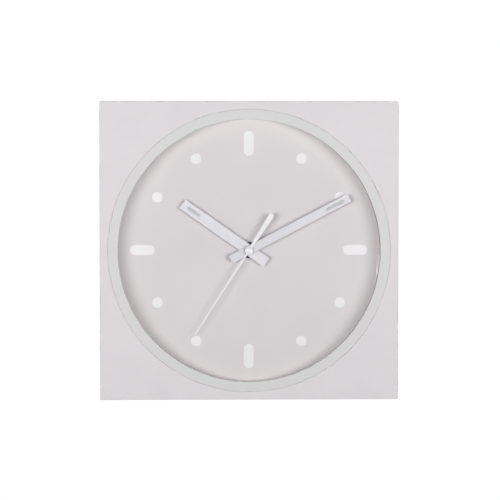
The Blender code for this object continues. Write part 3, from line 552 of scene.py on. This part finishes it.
def round_loop(radius, height):
    """A circle whose points lie in the same directions as the case's outline."""
    points = []
    for x, y, _ in square_loop(1.0, CORNER_SHARE, 0):
        away = math.hypot(x, y)
        points.append((radius * x / away, radius * y / away, height))
    return points


def case_shell():
    rear, front = depth("front_case")
    low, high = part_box("front_case")
    half = (high.x - low.x) / 2
    inside = half - SIDE_WALL
    edge, lip = 0.6 * MM, 0.25 * MM
    groove = front - GROOVE_DEPTH
    loops = [round_loop(SEAT_RADIUS, COLLAR_REAR_Z), round_loop(SEAT_RADIUS, groove)]
    loops.append(round_loop(HOLE_RADIUS, groove))
    for i in range(5):
        angle = math.radians(22.5 * i)
        radius = HOLE_RADIUS + lip * (1 - math.cos(angle))
        loops.append(round_loop(radius, front - lip * (1 - math.sin(angle))))
    loops.append(round_loop(HOLE_RADIUS + lip * 2, front))
    loops.append(square_loop(half - edge * 1.6, CORNER_RADIUS, front))
    for i in range(6):
        angle = math.radians(18 * i)
        inset = edge * (1 - math.sin(angle))
        loops.append(square_loop(half - inset, CORNER_RADIUS, front - edge * (1 - math.cos(angle))))
    loops.append(square_loop(half, CORNER_RADIUS, front - edge * 1.6))
    loops.append(square_loop(half, CORNER_RADIUS, rear + lip * 1.6))
    for i in range(4):
        angle = math.radians(30 * i)
        inset = lip * (1 - math.cos(angle))
        loops.append(square_loop(half - inset, CORNER_RADIUS, rear + lip * (1 - math.sin(angle))))
    for height in (rear, front - FRONT_WALL):
        loops.append(square_loop(inside, 0.6 * MM, height))
    loops.append(round_loop(COLLAR_OUTER, front - FRONT_WALL))
    loops.append(round_loop(COLLAR_OUTER, COLLAR_REAR_Z))
    show("case_shell", loft(loops, "case_shell"), "case_paint", ("front_case",))


def bezel():
    bottom, top = depth("bezel_ring")
    corners = ((RING_OUTER, top), (RING_OUTER, bottom), (RING_INNER, bottom), (RING_INNER, top))
    radii = (0.35 * MM, 0.2 * MM, 0.15 * MM, 0.3 * MM)
    show("bezel_face", turned(softened(corners, radii), "bezel_face"), "ring_metal", ("bezel_ring",))
    refined("bezel_carrier", 0.3 * MM)


def spacer():
    bottom, top = depth("spacer_ring")
    corners = (
        (SPACER_OUTER, top), (SPACER_OUTER, bottom + 2 * MM), (SPACER_FOOT, bottom + 2 * MM),
        (SPACER_FOOT, bottom), (SPACER_INNER, bottom), (SPACER_INNER, top))
    radii = (0.2 * MM, 0, 0, 0, 0, 0.3 * MM)
    mesh = turned(softened(corners, radii), "dial_spacer")
    wall = painted("white_paint", (0.87, 0.85, 0.85), 0.35, height=0.001 * MM)
    mesh.materials.append(wall.material)
    show("dial_spacer", mesh, "white_paint", ("spacer_ring",))


def painted_shade_lip():
    """The lens gasket's inner lip in black, reaching in past the CAD's gasket and set off centre: a dark
    sheet that paints the shade line just inside the ring.
    """
    rear, front = depth("lens_gasket")
    corners = ((GASKET_OUTER, front), (GASKET_OUTER, rear), (SHADE_LIP_INNER, rear), (SHADE_LIP_INNER, front))
    mesh = turned(softened(corners, (0, 0, 0.15 * MM, 0.15 * MM)), "painted_shade_lip")
    show("painted_shade_lip", mesh, "black_rubber", ("lens_gasket",), centre=SHADE_LIP_OFFSET)


def dial_marks():
    surface = depth("dial_plate")[1]
    ink = (surface, surface + INK)
    for hour in range(1, 13):
        if hour % 3:
            outline = circle(DOT_RADIUS, (0, DOT_CENTRE), 96)
        else:
            end = PILL_WIDTH / 2
            outline = upright_slot(end, PILL_SPAN[0] + end, PILL_SPAN[1] - end, 32)
        mesh = plate((outline,), ink, 0.03 * MM, 1)
        even_normals(show("hour_mark_%02d" % hour, mesh, "white_paint", angle=hour * 30))


def washer_and_nut():
    outline = (circle(8.2 * MM), circle(BUSHING_HOLE))
    even_normals(show("dial_washer", plate(outline, depth("centre_washer"), 0.15 * MM),
                      "black_plastic", ("centre_washer",)))
    nut = []
    for side in range(6):
        nut += arc(polar(5.95 * MM, 60 * side), 0.4 * MM, 60 * side - 30, 60 * side + 30, 4)
    even_normals(show("dial_nut", plate((nut, circle(BUSHING_HOLE)), depth("centre_nut"), 0.2 * MM),
                      "black_plastic", ("centre_nut",)))


# ---------------------------------------------------------------- hands

def bar_hand(blade_sizes, slot, span):
    """A flat bar with a slot near its tip and a hole for its pipe, pointing up (+Y)."""
    half_width, tail, length, hole = blade_sizes
    middle = (length - tail) / 2
    blade = rounded_rectangle(2 * half_width, length + tail, 0.25 * MM, (0, middle), 4)
    low, high, slot_half = slot
    opening = upright_slot(slot_half, low + slot_half, high - slot_half)
    return plate((blade, opening, circle(hole, steps=48)), span, 0.12 * MM)


def inlay(slot, span):
    """Pale luminous paint that fills a hand's slot to just below its face."""
    low, high, half_width = slot
    outline = upright_slot(half_width + 0.02 * MM, low + half_width, high - half_width)
    mesh = plate((outline,), (span[0] + 0.1 * MM, span[1] - 0.12 * MM), 0.03 * MM, 1)
    mesh.materials.append(LUME)
    return mesh


def hands():
    hour_span, minute_span = depth("hour_hand"), depth("minute_hand")
    hour = bar_hand(HOUR_BLADE, HOUR_SLOT, hour_span)
    even_normals(show("hour_blade", hour, "hand_metal", ("hour_hand",), "hour_group", angle=HOUR_ANGLE))
    show("hour_inlay", inlay(HOUR_SLOT, hour_span), "white_paint", (), "hour_group", angle=HOUR_ANGLE)
    minute = bar_hand(MINUTE_BLADE, MINUTE_SLOT, minute_span)
    # Painted shade: the minute hand takes a darker copy of the hand metal, for the way the light catches it
    # less than the hour hand.
    minute.materials.append(brushed_metal("hand_metal", (0.585, 0.585, 0.615), 0.42, 0.3).material)
    even_normals(show("minute_blade", minute, "hand_metal", ("minute_hand",), "minute_group",
                      angle=MINUTE_ANGLE))
    show("minute_inlay", inlay(MINUTE_SLOT, minute_span), "white_paint", (), "minute_group",
         angle=MINUTE_ANGLE)
    even_normals(show("second_blade", second_outline(), "white_paint", ("second_hand",), "second_group",
                      angle=SECOND_ANGLE))
    show("second_cap", cap(), "white_paint", ("second_hand_cap",), "second_group", angle=SECOND_ANGLE)


def second_outline():
    """Needle, round hub and weighted tail in one outline, walked clockwise from the needle."""
    hub = 3.4 * MM
    needle = 0.95 * MM
    tail = 1.4 * MM
    needle_at = math.degrees(math.acos(needle / hub))
    tail_at = math.degrees(math.acos(tail / hub))
    outline = arc((0, 99.75 * MM), 0.45 * MM, 0, 180, 12)
    outline += arc((0, 0), hub, 180 - needle_at, 180 + tail_at, 24)
    outline += arc((0, -41.1 * MM), 2.7 * MM, 180, 360, 32)
    outline += arc((0, 0), hub, 360 - tail_at, 360 + needle_at, 24)
    return plate((outline, circle(1.7 * MM, steps=32)), depth("second_hand"), 0.08 * MM)


def cap():
    bottom, top = depth("second_hand_cap")
    head = top - 1.5 * MM
    dome = [(0, top)]
    for i in range(1, 13):
        angle = math.radians(90 * i / 12)
        dome.append((4.15 * MM * math.sin(angle), head + 0.35 * MM + 1.15 * MM * math.cos(angle)))
    stem = [
        (4.15 * MM, head + 0.12 * MM), (4.03 * MM, head), (1.4 * MM, head), (1.4 * MM, bottom), (0, bottom)]
    return turned(dome + stem, "cap", SMALL_STEPS, closed=False)


# ---------------------------------------------------------------- back

def at_corners(distance):
    return (
        ("upper_right", (distance, distance)), ("upper_left", (-distance, distance)),
        ("lower_left", (-distance, -distance)), ("lower_right", (distance, -distance)))


def back_plate():
    low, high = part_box("back_cover")
    outlines = [
        rounded_rectangle(high.x - low.x, high.z - low.z, 1.5 * MM),
        rounded_rectangle(60 * MM, 60 * MM, 4 * MM),
        upright_slot(8 * MM, NAIL_Y - KEYHOLE_DROP, NAIL_Y)]
    outlines += [circle(SCREW_HOLE, at, 32) for _, at in at_corners(COVER_SCREW_AT)]
    outlines += [circle(SCREW_HOLE, (x, HANGER_CENTRE_Y), 32) for x in (-HANGER_SCREW_AT, HANGER_SCREW_AT)]
    mesh = plate(outlines, depth("back_cover"), 0.3 * MM)
    even_normals(show("back_panel", mesh, "grey_plastic", ("back_cover",)))
    rear = depth("back_cover")[0]
    rims = (
        ("window_rim", (66 * MM, 6 * MM), (62 * MM, 5 * MM)),
        ("panel_rim", (282 * MM, 8 * MM), (279 * MM, 7 * MM)))
    for name, *squares in rims:
        outlines = [rounded_rectangle(side, side, radius) for side, radius in squares]
        rim = plate(outlines, (rear - 0.5 * MM, rear + 0.2 * MM), 0.15 * MM)
        even_normals(show(name, rim, "grey_plastic"))


def hanger():
    outlines = [rounded_rectangle(50 * MM, 34 * MM, 3 * MM, (0, HANGER_CENTRE_Y)), keyhole()]
    outlines += [circle(SCREW_HOLE, (x, HANGER_CENTRE_Y), 32) for x in (-HANGER_SCREW_AT, HANGER_SCREW_AT)]
    mesh = plate(outlines, depth("hanger_plate"), 0.25 * MM)
    even_normals(show("hanger_bracket", mesh, "zinc_steel", ("hanger_plate",)))


def cross_screw(head_radius, head_height, shank_radius, length):
    """A pan-head screw with a cross recess; its head rests on height 0 and points down."""
    profile = [(0, -head_height)]
    for i in range(1, 9):
        angle = math.radians(90 * i / 8)
        profile.append((head_radius * math.sin(angle), -head_height * (0.25 + 0.75 * math.cos(angle))))
    profile += [(head_radius, 0), (shank_radius, 0), (shank_radius, length - shank_radius), (0, length)]
    mesh = turned(profile, "screw", 48, closed=False)
    bm = bmesh.new()
    for angle in (45, 135):
        size = Matrix.Diagonal((head_radius * 1.15, 0.55 * MM, head_height * 1.3, 1))
        turn = Matrix.Rotation(math.radians(angle), 4, "Z")
        bmesh.ops.create_cube(bm, size=1, matrix=Matrix.Translation((0, 0, -head_height)) @ turn @ size)
    return mesh, mesh_from(bm, "recess")


def carved(name, mesh, cutter_mesh):
    """The mesh with a Boolean cut applied."""
    source = bpy.data.objects.new(name, mesh)
    cutter = bpy.data.objects.new(name + "_cutter", cutter_mesh)
    for obj in (source, cutter):
        bpy.context.scene.collection.objects.link(obj)
    modifier = source.modifiers.new("cut", "BOOLEAN")
    modifier.object = cutter
    modifier.solver = "EXACT"
    modifier.use_self = True
    depsgraph = bpy.context.evaluated_depsgraph_get()
    result = bpy.data.meshes.new_from_object(source.evaluated_get(depsgraph))
    for obj in (source, cutter):
        bpy.data.objects.remove(obj, do_unlink=True)
    result.materials.clear()
    return shaded(result)


def screws():
    """Copies of one carved screw per size, each turned a little differently."""
    cover_rest = depth("back_cover")[0] - 0.3 * MM
    cover = carved("cover_screw", *cross_screw(3.2 * MM, 1.3 * MM, 1.25 * MM, 10 * MM))
    cover.transform(Matrix.Translation((0, 0, cover_rest)))
    for i, (name, centre) in enumerate(at_corners(COVER_SCREW_AT)):
        node = "cover_screw_" + name
        show(node + "_head", cover, "zinc_steel", (node,), centre=centre, angle=17 + 31 * i)
    hanger_rest = depth("hanger_plate")[0] - 0.3 * MM
    small = carved("hanger_screw", *cross_screw(3 * MM, 1 * MM, 1.25 * MM, 7 * MM))
    small.transform(Matrix.Translation((0, 0, hanger_rest)))
    for name, x in (("left", -HANGER_SCREW_AT), ("right", HANGER_SCREW_AT)):
        node = "hanger_screw_" + name
        show(node + "_head", small, "zinc_steel", (node,), centre=(x, HANGER_CENTRE_Y), angle=x / MM * 2)


def bumpers():
    bottom, top = depth("wall_bumper_upper_left")
    radius = 6 * MM
    profile = [(0, bottom + 0.15 * MM), (radius * 0.5, bottom + 0.05 * MM), (radius * 0.72, bottom)]
    for i in range(7):
        angle = math.radians(15 * i)
        reach = radius - 0.8 * MM * (1 - math.sin(angle))
        profile.append((reach, bottom + 0.8 * MM * (1 - math.cos(angle))))
    profile += [(radius, top), (0, top)]
    mesh = turned(profile, "bumper", SMALL_STEPS, closed=False)
    for name, centre in at_corners(BUMPER_AT):
        node = "wall_bumper_" + name
        show("pad_" + name, mesh, "black_rubber", (node,), centre=centre)


def refined(node, width, body="clock_body"):
    """A CAD node's shape with its sharp edges rounded."""
    bm = bmesh.new()
    bm.from_mesh(frame["nodes"][node].data)
    bmesh.ops.remove_doubles(bm, verts=bm.verts, dist=0.005 * MM)
    bmesh.ops.dissolve_limit(bm, angle_limit=math.radians(1), verts=bm.verts, edges=bm.edges)
    mesh = mesh_from(bm, node)
    obj = bpy.data.objects.new(node + "_fine", shaded(mesh))
    bpy.context.scene.collection.objects.link(obj)
    mesh.materials.append(LOOKS[node_slot[node]].material)
    bevel = obj.modifiers.new("edges", "BEVEL")
    bevel.width = width
    bevel.segments = 2
    bevel.limit_method = "ANGLE"
    bevel.angle_limit = math.radians(35)
    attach(obj, body)
    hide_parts(node)
    return even_normals(obj)


def movement():
    refined("movement_rear_housing", 0.25 * MM)
    refined("movement_front_housing", 0.25 * MM)
    refined("setting_knob", 0.12 * MM, body="setting_group")
    refined("battery_contact_positive", 0.1 * MM)
    refined("battery_contact_negative", 0.1 * MM)
    battery_cell()


def battery_cell():
    """An AA cell: a printed sleeve over a steel can with its button at the right."""
    low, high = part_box("battery_aa")
    radius = (high.y - low.y) / 2
    half = (high.x - low.x) / 2
    shoulder = half - 1 * MM
    can = [(0, half), (2.2 * MM, half), (2.6 * MM, half - 0.3 * MM), (2.75 * MM, shoulder + 0.1 * MM),
           (3.2 * MM, shoulder - 0.1 * MM), (5.6 * MM, shoulder - 0.1 * MM), (6.1 * MM, shoulder),
           (6.6 * MM, shoulder - 0.3 * MM), (6.6 * MM, 0.5 * MM - half), (6.3 * MM, 0.1 * MM - half),
           (5.2 * MM, -half), (4.8 * MM, 0.2 * MM - half), (0, 0.2 * MM - half)]
    sleeve = [(5.9 * MM, shoulder - 0.05 * MM), (6.6 * MM, shoulder - 0.12 * MM),
              (radius - 0.12 * MM, shoulder - 0.35 * MM), (radius, shoulder - 0.75 * MM),
              (radius, 0.75 * MM - half), (radius - 0.12 * MM, 0.3 * MM - half),
              (6.5 * MM, 0.08 * MM - half), (5.7 * MM, 0.1 * MM - half),
              (5.7 * MM, 0.4 * MM - half), (6.65 * MM, 0.9 * MM - half), (6.65 * MM, shoulder - 0.9 * MM),
              (5.9 * MM, shoulder - 0.3 * MM)]
    centre = (low + high) / 2
    lay = Matrix.Translation((0, centre.z - HUB_HEIGHT, -centre.y)) @ Matrix.Rotation(math.pi / 2, 4, "Y")
    for name, profile, slot, closed in (
            ("battery_can", can, "zinc_steel", False), ("battery_jacket", sleeve, "battery_wrap", True)):
        mesh = turned(profile, name, 96, closed)
        mesh.transform(lay)
        show(name, mesh, slot, ("battery_aa",))


def dress_cad_nodes():
    """Every CAD node that still shows takes the material of its slot."""
    for name, node in frame["nodes"].items():
        node.data.materials.clear()
        node.data.materials.append(LOOKS[node_slot[name]].material)


# ---------------------------------------------------------------- studio

def aim(obj, target):
    obj.rotation_mode = "QUATERNION"
    obj.rotation_quaternion = (target - obj.location).to_track_quat("-Z", "Y")


def softbox(name, location, target, size, power):
    light = bpy.data.lights.new(name, "AREA")
    light.shape = "RECTANGLE"
    light.size, light.size_y = size
    light.energy = power
    obj = bpy.data.objects.new(name, light)
    bpy.context.scene.collection.objects.link(obj)
    obj.location = location
    aim(obj, target)


def studio():
    scene = bpy.context.scene
    scene.view_settings.view_transform = "Standard"
    face = Vector((0, cad_low.y, HUB_HEIGHT))
    above = face + Vector((0, 0, 0.62))
    for name, side, power in (("left_softbox", -1, 10.2), ("right_softbox", 1, 9.3)):
        softbox(name, face + Vector((side * 0.62, -1.27, 0)), above, (0.76, 0.24), power)
    softbox("front_panel", face + Vector((0, -3.1, 0.1)), face, (2.6, 2.2), 5)
    softbox("top_panel", face + Vector((0.2, 0.9, 1.5)), face + Vector((0, 0.05, 0)), (1.2, 0.8), 16)
    softbox("rear_left", face + Vector((1.4, 1.7, 0.8)), face, (0.9, 0.9), 26)
    softbox("rear_right", face + Vector((-1.6, 1.5, 0.5)), face, (0.9, 0.9), 12)
    world = bpy.data.worlds.new("studio")
    scene.world = world
    world.use_nodes = True
    nodes, links = world.node_tree.nodes, world.node_tree.links
    background = nodes["Background"]
    path = nodes.new("ShaderNodeLightPath")
    shade = nodes.new("ShaderNodeMapRange")
    shade.inputs["To Min"].default_value = 0.1
    shade.inputs["To Max"].default_value = 1.02
    links.new(path.outputs["Is Camera Ray"], shade.inputs["Value"])
    links.new(shade.outputs["Result"], background.inputs["Strength"])
    background.inputs["Color"].default_value = (1, 1, 1, 1)


def floor():
    """A plain pale floor, well below the hanging clock."""
    mesh = turned([(1.1, 0.0), (1.1, -0.02), (0, -0.02)], "floor", 128, closed=False)
    bm = bmesh.new()
    bm.from_mesh(mesh)
    rim = [v for v in bm.verts if v.co.z > -0.001]
    rim.sort(key=lambda v: math.atan2(v.co.y, v.co.x))
    bm.faces.new(rim)
    bmesh.ops.recalc_face_normals(bm, faces=bm.faces)
    bm.to_mesh(mesh)
    bm.free()
    look = painted("floor_paint", (0.86, 0.86, 0.86), 0.7, 0.02, 0.3, 2 * MM, 0.03 * MM)
    mesh.materials.append(look.material)
    obj = bpy.data.objects.new("floor", mesh)
    bpy.context.scene.collection.objects.link(obj)
    obj.location = (0, 0, HUB_HEIGHT - 1.1)


def camera():
    """Looks at the face from a little left of centre and a little above it."""
    scene = bpy.context.scene
    data = bpy.data.cameras.new("camera")
    obj = bpy.data.objects.new("camera", data)
    scene.collection.objects.link(obj)
    face = Vector((0, cad_low.y, HUB_HEIGHT))
    obj.location = face + Vector((-0.057, -2.0, 0.087))
    aim(obj, face)
    distance = (obj.location - face).length
    data.sensor_width = 36
    data.lens = data.sensor_width * distance / VIEW_WIDTH
    data.clip_start = 0.05
    data.clip_end = 20
    data.shift_x = 0.0013
    data.shift_y = 0.0017
    scene.camera = obj


case_shell()
bezel()
spacer()
painted_shade_lip()
dial_marks()
washer_and_nut()
hands()
back_plate()
hanger()
screws()
bumpers()
movement()
dress_cad_nodes()
studio()
floor()
camera()
